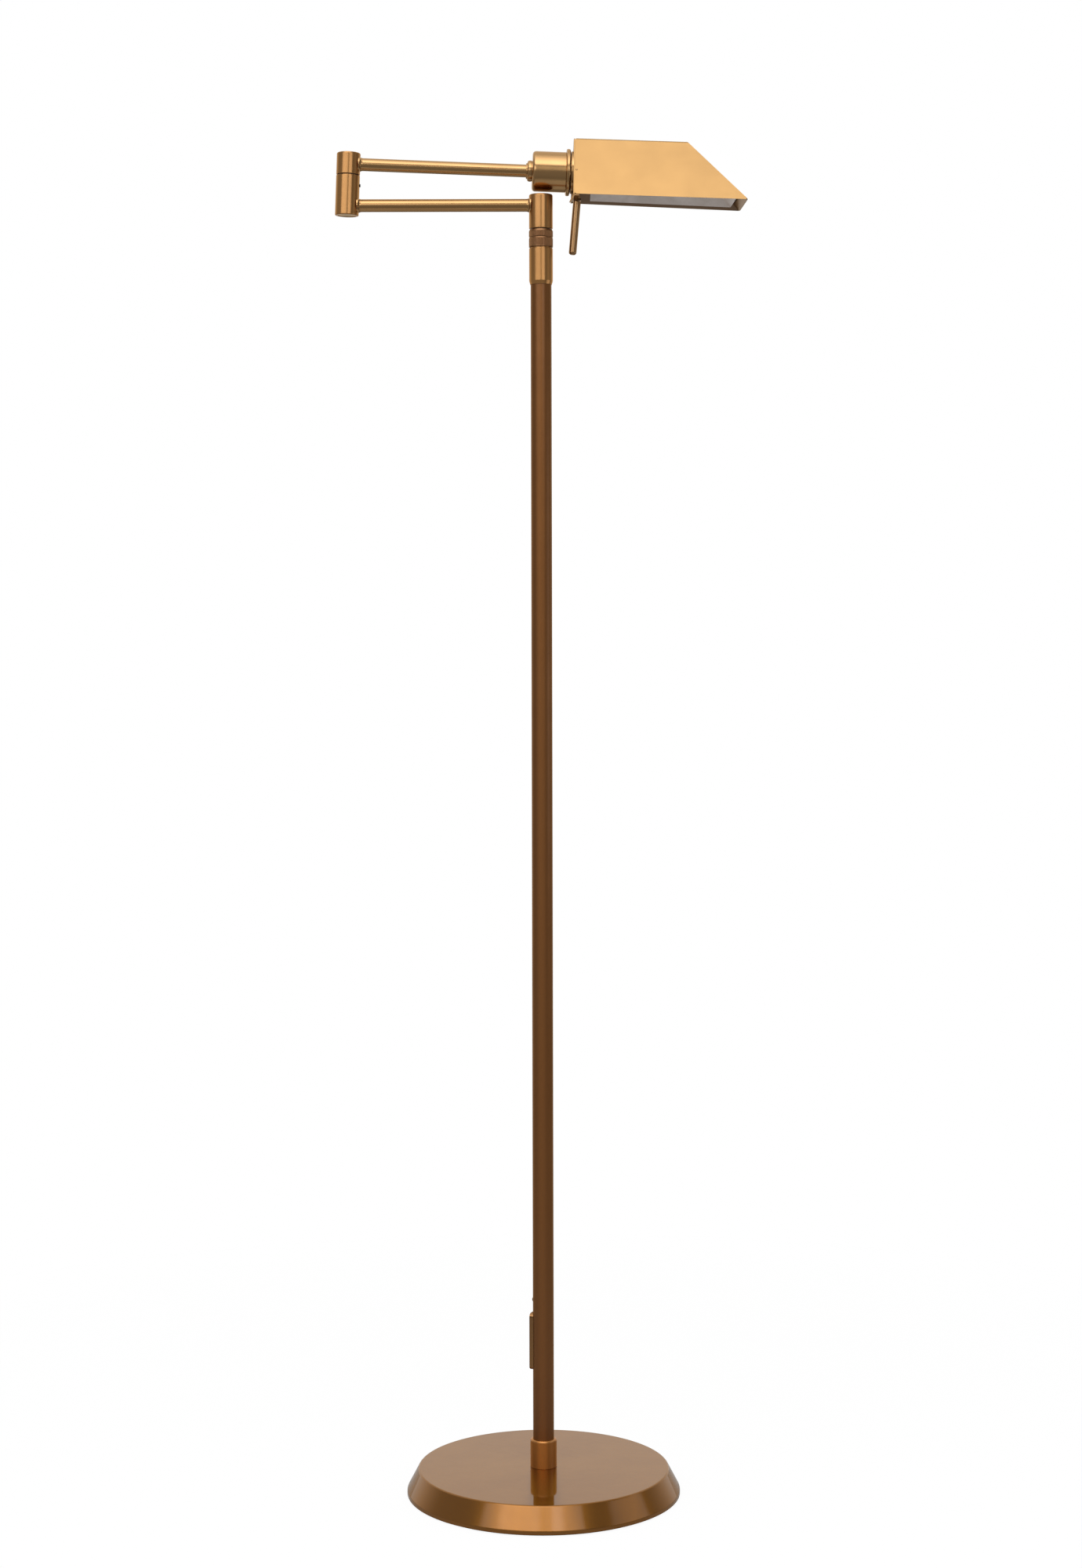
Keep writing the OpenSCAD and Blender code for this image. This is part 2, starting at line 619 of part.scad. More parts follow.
module elbow_pin() color([0.72, 0.62, 0.42]) elbow_frame()
  turned([[way_r, elbow_pin_low, 0], [spigot_r, elbow_pin_low, 0.6],
    [spigot_r, elbow_neck - neck_h / 2, 0], [spigot_r - neck_depth, elbow_neck - neck_h / 2, 0],
    [spigot_r - neck_depth, elbow_neck + neck_h / 2, 0], [spigot_r, elbow_neck + neck_h / 2, 0],
    [spigot_r, elbow_pin_high, 0], [way_r, elbow_pin_high, 0]], 3);

module elbow_washer() color([0.2, 0.14, 0.08]) elbow_frame()
  tube(barrel_r - 1.2, spigot_r + fit, elbow_seam - seam_half, elbow_seam + seam_half);

module upper_elbow_barrel() color([0.62, 0.41, 0.17]) difference() {
  elbow_frame() turned([[spigot_r + fit, elbow_seam + seam_half + fit, 0],
    [barrel_r, elbow_seam + seam_half + fit, 0.5], [barrel_r, elbow_top, 1.4],
    [chamber_r + 0.5, elbow_top, 0], [chamber_r + 0.5, elbow_top - cap_t, 0],
    [chamber_r, elbow_top - cap_t, 0], [chamber_r, elbow_pin_high, 0],
    [spigot_r + fit, elbow_pin_high, 0]], 5);
  upper_frame() rod_x(arm_r + fit, 1, barrel_d);
}

module elbow_top_cap() color([0.62, 0.41, 0.17]) elbow_frame()
  turned([[0, elbow_top - cap_t + fit, 0], [chamber_r + 0.5 - fit, elbow_top - cap_t + fit, 0],
    [chamber_r + 0.5 - fit, elbow_top - 0.3, 0.4], [0, elbow_top, 0]], 4);

module upper_arm_tube() color([0.66, 0.45, 0.2]) upper_frame() difference() {
  union() {
    rod_x(arm_r, seat_end, holder_x + holder_seat);
    difference() {
      braze(barrel_r - 2, 1);
      translate([0, 0, -hub_h]) cylinder(r = barrel_r + 0.02, h = 2 * hub_h);
    }
  }
  rod_x(arm_r - arm_wall, 0, holder_x + holder_seat + 1);
}

module upper_arm_lead() color([0.12, 0.1, 0.08]) upper_frame() translate([0, 0, -lead_drop]) {
  rod_x(lead_r, lead_turn, holder_x + holder_seat);
  mirror([1, 0, 0]) lead_bend();
  translate([0, 0, elbow_pin_low + 0.3 - upper_z + lead_drop])
    cylinder(r = lead_r, h = upper_z - lead_drop - lead_turn - elbow_pin_low - 0.29);
}

// Collar where the arm meets the cup: a thin ring and a rounded shoulder
module cup_collar() color([0.6, 0.4, 0.17]) upper_frame()
  turned_x([[arm_r + fit, cup_x - shoulder_l, 0], [arm_r + 1.3, cup_x - shoulder_l, 0.5],
    [arm_r + 1.5, cup_x - shoulder_l + shoulder_ring, 0],
    [arm_r + 3.9, cup_x - shoulder_l + shoulder_ring, 2.2], [arm_r + 4.1, cup_x - 1.2, 0],
    [arm_r + 3.7, cup_x - 0.9, 0], [arm_r + 3.7, cup_x - fit, 0], [arm_r + fit, cup_x - fit, 0]], 4);

// Lamp cup and what it holds

module lamp_cup() color([0.6, 0.4, 0.17]) upper_frame()
  turned_x([[arm_r + fit, cup_x, 0], [cup_d / 2, cup_x, 3.2], [cup_d / 2, cup_front, 0],
    [cup_d / 2 - cup_wall, cup_front, 0], [cup_d / 2 - cup_wall, cup_x + cup_wall, 2],
    [arm_r + fit, cup_x + cup_wall, 0]], 6);

module cup_nut() color([0.72, 0.62, 0.42]) upper_frame() difference() {
  translate([cup_x + cup_wall, 0, 0]) rotate([0, 90, 0])
    cylinder(r = nut_af / sqrt(3), h = nut_t, $fn = 6);
  rod_x(arm_r + fit, cup_x, cup_x + 10);
}

// Bead ring pressed into the cup, with the bore that the shade's sleeve turns in
module bead_ring() color([0.5, 0.33, 0.14]) upper_frame()
  turned_x([[sleeve_r + fit, skirt_x, 0], [cup_in - fit, skirt_x, 0], [cup_in - fit, cup_front + fit, 0],
    [disc_d / 2 - 1, cup_front + fit, 0], [bead_d / 2, cup_front + bead_w * 0.16, bead_w * 0.28],
    [bead_d / 2, bead_front - bead_w * 0.16, bead_w * 0.28], [disc_d / 2 - 1, bead_front, 0],
    [sleeve_r + fit, bead_front, 0]], 5);

// Lampholder, screwed on the end of the arm tube
module lampholder() color([0.9, 0.88, 0.82]) upper_frame() difference() {
  turned_x([[arm_r + fit, holder_x, 0], [nose_r - 3, holder_x, 0.8], [nose_r, holder_x + 4, 0.8],
    [nose_r, holder_front, 0.8], [holder_bore, holder_front, 0.6],
    [holder_bore, holder_front - holder_depth, 0], [0, holder_front - holder_depth, 0],
    [0, holder_x + holder_seat + 1, 0], [arm_r + fit, holder_x + holder_seat + 1, 0]], 3);
  for (y = [-3, 3]) translate([0, y, 0]) rod_x(1, holder_x + holder_seat, holder_front - holder_depth + 1);
}

// Brass tongue at the bottom of the lampholder that touches the lamp
module holder_contact() color([0.8, 0.62, 0.25]) upper_frame()
  translate([holder_front - holder_depth + fit, 0, 0]) rotate([90, 0, 0])
    translate([0, 0, -2]) linear_extrude(4)
      polygon([[0, -5], [0.5, -5], [0.5, 2], [2.2, 5], [1.7, 5.2], [0, 2.4]]);

// Screw cap of the lamp, with a rolled thread
module bulb_cap() color([0.75, 0.7, 0.55]) upper_frame() {
  cap_x = holder_front - holder_depth + 3;
  thread = [for (i = [0:4]) each [[6.3, cap_x + 3 + 2.8 * i, 0], [6.9, cap_x + 4.4 + 2.8 * i, 0]]];
  turned_x(concat([[0, cap_x, 0], [2.2, cap_x, 0.5], [2.6, cap_x + 1, 0], [5.4, cap_x + 2, 0]], thread,
    [[6.6, holder_front - 3, 0], [6.6, holder_front - 1, 0], [0, holder_front - 1, 0]]), 3);
}

// Tubular glass, open where it is cemented into its cap
module bulb_glass() color([0.95, 0.94, 0.9, 0.6]) upper_frame() {
  neck = holder_front - 1 + fit;
  r = bulb_d / 2;
  wall = 0.8;
  turned_x([[6.4 - wall, neck, 0], [6.4, neck, 0], [6.4, neck + 1.5, 0], [r, neck + 9, 6],
    [r, neck + bulb_l, r - 1.6], [0, neck + bulb_l, 0], [0, neck + bulb_l - wall, 0],
    [r - wall, neck + bulb_l - wall, r - 1.6 - wall], [r - wall, neck + 9.4, 5.4],
    [6.4 - wall, neck + 1.9, 0]], 8);
}

// Shade, turning in the bead ring

// Disc behind the shade with the sleeve that turns in the bead ring
module pivot_disc() color([0.5, 0.33, 0.14]) upper_frame() difference() {
  turned_x([[sleeve_in, clip_x - 1.5, 0], [sleeve_r, clip_x - 1.5, 0.3], [sleeve_r, clip_x - fit, 0],
    [sleeve_r - clip_depth, clip_x - fit, 0], [sleeve_r - clip_depth, clip_x + clip_t + fit, 0],
    [sleeve_r, clip_x + clip_t + fit, 0], [sleeve_r, disc_x, 0], [disc_d / 2, disc_x, 0.5],
    [disc_d / 2, shade_x, 0], [sleeve_in, shade_x, 0]], 3);
  disc_rivet_places() rod_x(rivet_r + fit, disc_x - 1, shade_x + 1);
}

// Places of the rivets that join the shade's back to the disc
module disc_rivet_places() for (a = disc_rivets_at)
  translate([0, disc_rivet_r * cos(a), disc_rivet_r * sin(a)]) children();

module pivot_clip() color([0.7, 0.7, 0.68]) upper_frame() difference() {
  tube_x(cup_in - air - 0.1, sleeve_r - clip_depth + fit, clip_x, clip_x + clip_t);
  translate([clip_x - 1, -4, 0]) cube([clip_t + 2, 8, cup_d]);
}

module wave_washer() color([0.75, 0.74, 0.7]) upper_frame()
  tube_x(cup_in - air - 0.1, sleeve_r + 0.1, wave_x, wave_x + wave_t);

module disc_rivets() color([0.45, 0.29, 0.12]) upper_frame() disc_rivet_places() {
  rod_x(rivet_r, disc_x + 0.1, back_front + 0.5);
  rod_x(rivet_head, back_front + fit, back_front + 0.9);
}

// Upright section of the tent at the back, as [y, z] points, drawn in by an inset
// and carried on below the open edge
function tent(inset, below = 0) = let (side = inset / cos(wall_slope))
  let (low = back_w / 2 - side + below * tan(wall_slope))
  let (high = ridge_w / 2 - side + inset * tan(wall_slope), foot = -edge_down - below)
  rounded([[-low, foot, 0], [low, foot, 0], [high, ridge_up - inset, fold_r],
    [-high, ridge_up - inset, fold_r]], 5);

// Where the sloping front stands at a height, drawn in by an inset
function front_at(z, inset) = ridge_end + (ridge_up - z) / tan(front_slope) - inset / sin(front_slope);

// Half of the tent's width at its lower edge, at a place along the arm
function edge_half(x) = back_w / 2 + (x - shade_x) * tan(flare);

// Solid tent between its two leaning walls, its ridge, its sloping front and its corners
module tent_solid(inset, front_inset, back, low, heel = 0) {
  high = ridge_up - inset;
  tip = front_at(-edge_down, front_inset);
  half = edge_half(tip) - inset / cos(wall_slope);
  intersection() {
    translate([0, back_w, 0]) rotate([90, 0, 0]) linear_extrude(2 * back_w)
      polygon(rounded([[back, high, heel], [front_at(high, front_inset), high, fold_r],
        [front_at(low, front_inset), low, 0], [back, low, heel]], 5));
    tent_wall(inset, low);
    mirror([0, 1, 0]) tent_wall(inset, low);
    translate([0, 0, low - 1]) linear_extrude(ridge_up + edge_down + 10)
      polygon(rounded([[back - 1, -back_w, 0], [tip, -half, corner_r], [tip, half, corner_r],
        [back - 1, back_w, 0]], 5));
  }
}

// Everything on the near side of one leaning wall, under the ridge
module tent_wall(inset, low) {
  slope = tan(wall_slope);
  high = ridge_up - inset;
  out = back_w / 2 - inset / cos(wall_slope);
  translate([shade_x, 0, 0]) rotate([0, 0, flare]) translate([-10, 0, 0])
    rotate([90, 0, 90]) linear_extrude(edge_l + 20)
      polygon(rounded([[-front_w, low - 1, 0], [out - (low - 1 + edge_down) * slope, low - 1, 0],
        [out - (high + edge_down) * slope, high, fold_r], [-front_w, high, 0]], 5));
}

module shade_back() color([0.5, 0.33, 0.14]) upper_frame() difference() {
  union() {
    across(shade_x, back_t) polygon(tent(0.2));
    across(shade_x, back_t + lip_l) polygon(tent(sheet + 0.2));
  }
  across(back_front, lip_l + 1) polygon(tent(sheet + 1.2, 5));
  rod_x(sleeve_in, shade_x - 1, back_front + 1);
  rivet_holes();
  disc_rivet_places() rod_x(rivet_r + fit, shade_x - 1, back_front + 1);
  shade_rivet_places() translate([0, 0, -4]) cylinder(r = 0.6 + fit, h = 5);
}

// Extrudes a section of the shade along the arm
module across(x, length) translate([x, 0, 0]) rotate([90, 0, 90]) linear_extrude(length) children();

module rivet_holes() for (y = rivets_at)
  translate([0, y, rivet_z]) rod_x(rivet_r + fit, shade_x - 1, back_front + 5);

module shade_shell() color([0.85, 0.6, 0.26]) upper_frame() difference() {
  tent_solid(0, 0, back_front + fit, -edge_down, 2.2);
  tent_solid(sheet, sheet, back_front - 1, -edge_down - 3);
  shade_rivet_places() translate([0, 0, -4]) cylinder(r = 0.6 + fit, h = 5);
}

// Places on the two walls, square to them, where the shell is riveted to the lip of the back
module shade_rivet_places() for (side = [-1, 1])
  translate([shade_x, 0, 0]) rotate([0, 0, side * flare]) translate([back_t + 2.4, side * wall_out(0), 0])
    rotate([-side * (90 - wall_slope), 0, 0]) children();

module shade_rivets() color([0.4, 0.26, 0.1]) upper_frame() shade_rivet_places() {
  translate([0, 0, -2.4]) cylinder(r = 0.6, h = 2.6);
  translate([0, 0, fit]) cylinder(r1 = 1, r2 = 0.7, h = 0.3);
}

// Distance from the middle to the outside of a wall at the back, at a height
function wall_out(z) = back_w / 2 - (z + edge_down) * tan(wall_slope);

// Bright liner that stops short of the shade's edges
module reflector() color([0.7, 0.71, 0.72]) upper_frame() difference() {
  tent_solid(sheet + reflector_gap, sheet + reflector_set, reflector_x, -edge_down + reflector_up);
  tent_solid(sheet + reflector_gap + reflector_t, sheet + reflector_set + reflector_t,
    reflector_x - 1, -edge_down - 3);
  for (x = stud_at) translate([shade_x + x, 0, 0]) cylinder(r = stud_r + 0.2, h = ridge_up + 5);
}

module reflector_studs() color([0.7, 0.7, 0.68]) upper_frame() for (x = stud_at)
  translate([shade_x + x, 0, ridge_up - sheet - stud_l]) cylinder(r = stud_r, h = stud_l - fit);

module reflector_nuts() color([0.7, 0.7, 0.68]) upper_frame() for (x = stud_at)
  translate([shade_x + x, 0, ridge_up - sheet - reflector_gap - reflector_t - 2.4 - fit]) difference() {
    cylinder(r = 5.5 / sqrt(3), h = 2.4, $fn = 6);
    translate([0, 0, -1]) cylinder(r = stud_r + fit, h = 5);
  }

// Handle that turns the shade

module handle_bracket() color([0.45, 0.29, 0.12]) upper_frame() difference() {
  union() {
    translate([back_front + fit, -bracket_w / 2, -edge_down - bracket_drop - bracket_shelf])
      cube([bracket_t, bracket_w, bracket_rise]);
    translate([back_front + fit, -bracket_w * 0.3, -edge_down - bracket_drop - bracket_shelf])
      cube([bracket_reach, bracket_w * 0.6, bracket_shelf]);
    translate([back_front + fit, -back_w / 2 + 1, -edge_down - bracket_drop - strip_t])
      cube([strip_w, back_w / 2, strip_t]);
    bracket_tab();
  }
  rivet_holes();
  handle_frame() cylinder(r = neck_r + 0.3, h = 10, center = true);
}

// Tab at the near end of the bracket's strip, bent back and down behind the shade
module bracket_tab() translate([0, -back_w / 2 + 1 + tab_w, 0]) rotate([90, 0, 0]) linear_extrude(tab_w)
  polygon(rounded([[back_front + strip_w, -edge_down - bracket_drop, 0],
    [back_front - 1.2, -edge_down - bracket_drop, 1.8], [back_front - tab_back, -edge_down - tab_drop, 0],
    [back_front - tab_back + strip_t, -edge_down - tab_drop, 0],
    [back_front + 0.1, -edge_down - bracket_drop - strip_t, 0.6],
    [back_front + strip_w, -edge_down - bracket_drop - strip_t, 0]], 5));

module bracket_rivets() color([0.45, 0.29, 0.12]) upper_frame() for (y = rivets_at)
  translate([0, y, rivet_z]) {
    rod_x(rivet_r, shade_x - 0.5, back_front + bracket_t + fit + 0.5);
    rod_x(rivet_head, shade_x - 0.9, shade_x - fit);
    rod_x(rivet_head, back_front + bracket_t + 2 * fit, back_front + bracket_t + 0.9);
  }

// Frame of the handle, at the shade's open edge and leaning with it
module handle_frame() translate([handle_x, 0, -edge_down]) rotate([0, handle_lean, 0]) children();

module handle_rod() color([0.36, 0.22, 0.1]) upper_frame() handle_frame()
  turned([[0, 4.4, 0], [neck_r, 4.4, 0.4], [neck_r, -handle_top, 0], [handle_d / 2, -handle_top, 0.4],
    [handle_d / 2, -handle_l - bracket_shelf, handle_d * 0.33], [0, -handle_l - bracket_shelf, 0]], 5);

module handle_nut() color([0.45, 0.29, 0.12]) upper_frame() handle_frame() translate([0, 0, 0.1])
  rotate([0, 0, 30]) difference() {
    cylinder(r = handle_nut_af / sqrt(3), h = 2.6, $fn = 6);
    translate([0, 0, -1]) cylinder(r = neck_r + fit, h = 6);
  }

base_pad();
base_cover();
base_weight();
tie_tube();
tie_washer();
tie_nut();
cord_bush();
foot_plug();
base_collar();
pole_tube();
pole_ferrule();
lock_collet();
lock_ring();
dimmer_cover();
dimmer_module();
dimmer_screw();
dimmer_slider();
mast_tube();
mast_guide();
mast_head();
hub_washer();
mast_lead();
hub();
hub_cap();
hub_set_screw();
lower_arm_tube();
lower_arm_lead();
lower_elbow_barrel();
elbow_bottom_cap();
elbow_set_screw();
elbow_pin();
elbow_washer();
upper_elbow_barrel();
elbow_top_cap();
upper_arm_tube();
upper_arm_lead();
cup_collar();
lamp_cup();
cup_nut();
bead_ring();
lampholder();
holder_contact();
bulb_cap();
bulb_glass();
pivot_disc();
pivot_clip();
wave_washer();
disc_rivets();
shade_back();
shade_shell();
shade_rivets();
reflector();
reflector_studs();
reflector_nuts();
handle_bracket();
bracket_rivets();
handle_rod();
handle_nut();
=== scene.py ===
import math

import bpy
import numpy as np
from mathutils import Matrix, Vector

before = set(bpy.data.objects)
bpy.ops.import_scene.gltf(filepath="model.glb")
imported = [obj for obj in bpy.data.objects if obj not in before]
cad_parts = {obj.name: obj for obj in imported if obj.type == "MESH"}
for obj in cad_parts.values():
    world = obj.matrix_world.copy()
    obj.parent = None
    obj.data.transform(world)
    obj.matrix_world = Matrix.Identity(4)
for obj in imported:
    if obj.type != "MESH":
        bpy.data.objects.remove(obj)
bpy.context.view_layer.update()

# ---------------------------------------------------------------- places in the imported model, given as numbers

FLOOR = (0.0, 0.0, 0.0)
UP = (0.0, 0.0, 1.0)
ARM_POINT = (0.0, 0.0, 1.24805)
ARM_AXIS = (1.0, 0.0, 0.0)
ELBOW_POINT = (-0.188, 0.0, 1.24805)
ELBOW_AXIS = (0.034899, 0.0, 0.999391)           # leans 2 degrees
REACH_POINT = (-0.18659, 0.0, 1.288425)
REACH_AXIS = (0.998782, 0.034899, -0.034878)     # along the upper arm, the cup and the shade
SHADE_MIDDLE = (0.09, 0.0096, 1.272)


# ---------------------------------------------------------------- camera

CAMERA_PLACE = (-0.0008, -2.616, 0.825)
CAMERA_ROLL = 0.127
LENS, SENSOR, LENS_SHIFT = 61.9, 36.0, -0.091
NEAR, FAR = 0.05, 40.0


def set_camera():
    """A level camera in front of the column, shifted until the horizon falls where the photograph has it."""
    lens = bpy.data.cameras.new("camera")
    lens.lens, lens.sensor_width, lens.shift_y = LENS, SENSOR, LENS_SHIFT
    lens.clip_start, lens.clip_end = NEAR, FAR
    stand = bpy.data.objects.new("camera", lens)
    stand.location = CAMERA_PLACE
    stand.rotation_euler = (math.radians(90.0), math.radians(CAMERA_ROLL), 0.0)
    bpy.context.scene.collection.objects.link(stand)
    bpy.context.scene.camera = stand


# ---------------------------------------------------------------- node trees

class Bench:
    """A node tree being wired: each call sets one node down and hands back what it gives."""

    def __init__(self, tree):
        self.tree = tree
        tree.nodes.clear()

    def put(self, kind, feeds=None, **settings):
        """A node with its settings. Each feed is wired where it is a socket, and else set."""
        node = self.tree.nodes.new(kind)
        for key, value in settings.items():
            setattr(node, key, value)
        for key, value in (feeds or {}).items():
            socket = node.inputs[key]
            if isinstance(value, bpy.types.NodeSocket):
                self.tree.links.new(value, socket)
            else:
                socket.default_value = value
        return node

    def calc(self, work, *values, clamp=False):
        """One sum on numbers."""
        node = self.put("ShaderNodeMath", dict(enumerate(values)), operation=work, use_clamp=clamp)
        return node.outputs[0]

    def vector(self, work, *values, out=0):
        """One sum on vectors: out 0 is a vector and out 1 a number."""
        feeds = dict(enumerate(values))
        return self.put("ShaderNodeVectorMath", feeds, operation=work).outputs[out]

    def scaled(self, vector, amount):
        """The vector made longer by the amount."""
        node = self.put("ShaderNodeVectorMath", {0: vector}, operation="SCALE")
        if isinstance(amount, bpy.types.NodeSocket):
            self.tree.links.new(amount, node.inputs["Scale"])
        else:
            node.inputs["Scale"].default_value = amount
        return node.outputs[0]

    def place(self):
        """Where the point lies, in metres, in the lamp's own frame."""
        return self.put("ShaderNodeTexCoord").outputs["Object"]

    def noise(self, where, scale, detail=3.0, rough=0.55, lean=0.0):
        """Noise from 0 to 1 with about scale cells to a metre."""
        return self.put("ShaderNodeTexNoise", {"Vector": where, "Scale": scale, "Detail": detail,
                                               "Roughness": rough, "Distortion": lean}).outputs["Fac"]

    def spread(self, value, low, high, to_low=0.0, to_high=1.0):
        """The value's share of the way from low to high, kept within it and laid out between the other two."""
        node = self.put("ShaderNodeMapRange", {"Value": value, "From Min": low, "From Max": high,
                                               "To Min": to_low, "To Max": to_high}, clamp=True)
        return node.outputs["Result"]

    def blend(self, amount, first, second):
        """The first colour turned into the second by the amount."""
        node = self.put("ShaderNodeMix", data_type="RGBA", blend_type="MIX")
        for key, value in ((0, amount), (6, first), (7, second)):
            if isinstance(value, bpy.types.NodeSocket):
                self.tree.links.new(value, node.inputs[key])
            else:
                node.inputs[key].default_value = value if key == 0 else (*value[:3], 1.0)
        return node.outputs[2]

    def bump(self, height, depth):
        """The normal of a relief that is depth metres high where the height is 1."""
        feeds = {"Height": height, "Distance": depth, "Strength": 1.0}
        return self.put("ShaderNodeBump", feeds).outputs["Normal"]

    def shader(self, feeds):
        return self.put("ShaderNodeBsdfPrincipled", feeds)

    def finish(self, surface):
        """The last node: what the material shows."""
        self.put("ShaderNodeOutputMaterial", {"Surface": surface})


def new_material(name, viewport):
    """A material with an empty bench, and the plain colour shown where materials aren't drawn."""
    made = bpy.data.materials.new(name)
    made.use_nodes = True
    made.diffuse_color = (*viewport[:3], 1.0)
    return made, Bench(made.node_tree)


def round_axis(bench, point, axis):
    """Place seen from an axis: how far along it, how far out from it, and the part square to it."""
    off = bench.vector("SUBTRACT", bench.place(), point)
    along = bench.vector("DOT_PRODUCT", off, axis, out=1)
    square = bench.vector("SUBTRACT", off, bench.scaled(axis, along))
    out = bench.vector("LENGTH", square, out=1)
    return along, out, square


# ---------------------------------------------------------------- finishes

# Noise cells to a metre: fine lines, wide bands, and the slow way along them.
ROUND_FINE, ROUND_WIDE, ROUND_SLOW = 2600.0, 420.0, 14.0
LENGTH_FINE, LENGTH_WIDE, LENGTH_SLOW = 2400.0, 500.0, 22.0
CLOUDS, SPECKS, SKIN = 22.0, 900.0, 140.0
BAND_SHARE, SPECK_SHARE = 0.05, 0.05
BRUSH_DEPTH, SKIN_DEPTH = 0.000003, 0.000004
EDGE_TINT = (0.8, 0.62, 0.42, 1.0)
# Painted shade: the colour that the shade's inward faces turn to, for the shade inside its hollow.
PAINTED_SHADE_INSIDE = (0.26, 0.165, 0.1)


def brushing(bench, lay, axis, along, out, square):
    """Where the brushing's noise is read, for its fine lines and for its wide bands.

    Round the axis, the place depends on how far along and out a point is, so the noise makes rings.
    Lengthwise, it hardly changes along the axis, so the noise makes lines down the piece.
    """
    if lay == "round":
        slow = bench.scaled(square, ROUND_SLOW)
        rings = [bench.put("ShaderNodeCombineXYZ", {0: bench.calc("MULTIPLY", along, cells),
                                                    1: bench.calc("MULTIPLY", out, cells), 2: 0.0})
                 for cells in (ROUND_FINE, ROUND_WIDE)]
        return [bench.vector("ADD", ring.outputs[0], slow) for ring in rings]
    slow = bench.scaled(axis, bench.calc("MULTIPLY", along, LENGTH_SLOW))
    return [bench.vector("ADD", bench.scaled(square, cells), slow) for cells in (LENGTH_FINE, LENGTH_WIDE)]


def lacquered_brass(name, colour, dark, rough, coat=0.4, coat_rough=0.16, coat_ior=1.5, point=FLOOR,
                    axis=UP, lay="round", grain=0.5, patina=0.25, satin=0.95, inside=None):
    """Brushed brass under clear lacquer.

    Colour turns towards dark by broad noise for the patina, by the brushing's bands and by specks.
    Roughness follows the broad noise, as wear by handling, and the brushing's lines. Lines and bands
    are in relief under the lacquer, whose own skin is slightly wavy. The gloss is drawn out square to
    the brushing, by satin. Faces that look towards the point inside take a greyer, darker colour:
    painted shade, for the shade in the hollow.
    """
    made, bench = new_material(name, colour)
    along, out, square = round_axis(bench, point, axis)
    fine, wide = brushing(bench, lay, axis, along, out, square)
    lines = bench.noise(fine, 1.0, 2.0, 0.6)
    bands = bench.noise(wide, 1.0, 2.0, 0.5)
    where = bench.place()
    clouds = bench.noise(where, CLOUDS, 4.0, 0.6, 0.3)
    specks = bench.spread(bench.noise(where, SPECKS, 1.0, 0.5), 0.66, 0.76)
    shade = bench.calc("ADD", bench.calc("MULTIPLY", bench.spread(clouds, 0.35, 0.7), patina),
                       bench.calc("MULTIPLY", bench.spread(bands, 0.4, 0.72), BAND_SHARE * grain))
    shade = bench.calc("ADD", shade, bench.calc("MULTIPLY", specks, SPECK_SHARE), clamp=True)
    body = bench.blend(shade, colour, dark)
    facing = bench.put("ShaderNodeTexCoord").outputs["Normal"]
    # Painted shade: faces that look towards the inside point take the darker colour.
    if inside:
        inward_painted_shade = bench.vector("DOT_PRODUCT", facing, bench.vector("SUBTRACT", inside, where), out=1)
        body = bench.blend(bench.calc("GREATER_THAN", inward_painted_shade, 0.0), body, PAINTED_SHADE_INSIDE)
    wear = bench.calc("ADD", bench.spread(clouds, 0.3, 0.75, rough - 0.04, rough + 0.05),
                      bench.spread(lines, 0.3, 0.7, -0.01 * grain, 0.02 * grain), clamp=True)
    relief = bench.calc("ADD", bench.calc("MULTIPLY", lines, 0.4), bench.calc("MULTIPLY", bands, 1.2))
    shader = bench.shader({"Base Color": body, "Metallic": 1.0, "Roughness": wear, "Specular Tint": EDGE_TINT,
                           "Normal": bench.bump(relief, BRUSH_DEPTH * grain), "Anisotropic": satin,
                           "Coat Weight": coat, "Coat Roughness": coat_rough, "Coat IOR": coat_ior,
                           "Coat Normal": bench.bump(bench.noise(where, SKIN, 2.0, 0.5), SKIN_DEPTH)})
    groove = bench.vector("CROSS_PRODUCT", axis, square) if lay == "round" else axis
    across = bench.vector("NORMALIZE", bench.vector("CROSS_PRODUCT", groove, facing))
    turned = bench.put("ShaderNodeVectorTransform", {0: across}, vector_type="VECTOR",
                       convert_from="OBJECT", convert_to="WORLD")
    bench.tree.links.new(turned.outputs[0], shader.inputs["Tangent"])
    bench.finish(shader.outputs[0])
    return made


def plain_metal(name, colour, dark, rough, grain=260.0, depth=0.00003):
    """Bare metal: broad noise moves its colour a little, and fine noise its roughness and its relief."""
    made, bench = new_material(name, colour)
    where = bench.place()
    broad = bench.noise(where, 45.0, 4.0, 0.6)
    fine = bench.noise(where, grain * 10.0, 2.0, 0.6)
    body = bench.blend(bench.spread(broad, 0.35, 0.75), colour, dark)
    wear = bench.spread(fine, 0.3, 0.7, rough - 0.06, rough + 0.08)
    shader = bench.shader({"Base Color": body, "Metallic": 1.0, "Roughness": wear,
                           "Normal": bench.bump(fine, depth)})
    bench.finish(shader.outputs[0])
    return made


def cast_iron(name):
    """Sand-cast iron: two sizes of noise pit the skin, and the pits are darker than the rest."""
    colour, dark = (0.075, 0.076, 0.08), (0.03, 0.03, 0.032)
    made, bench = new_material(name, colour)
    where = bench.place()
    pits = bench.noise(where, 700.0, 4.0, 0.65)
    lumps = bench.noise(where, 120.0, 3.0, 0.5)
    height = bench.calc("ADD", pits, bench.calc("MULTIPLY", lumps, 1.5))
    shader = bench.shader({"Base Color": bench.blend(bench.spread(pits, 0.3, 0.6), dark, colour),
                           "Metallic": 0.6, "Roughness": bench.spread(lumps, 0.3, 0.7, 0.55, 0.75),
                           "Normal": bench.bump(height, 0.00025)})
    bench.finish(shader.outputs[0])
    return made


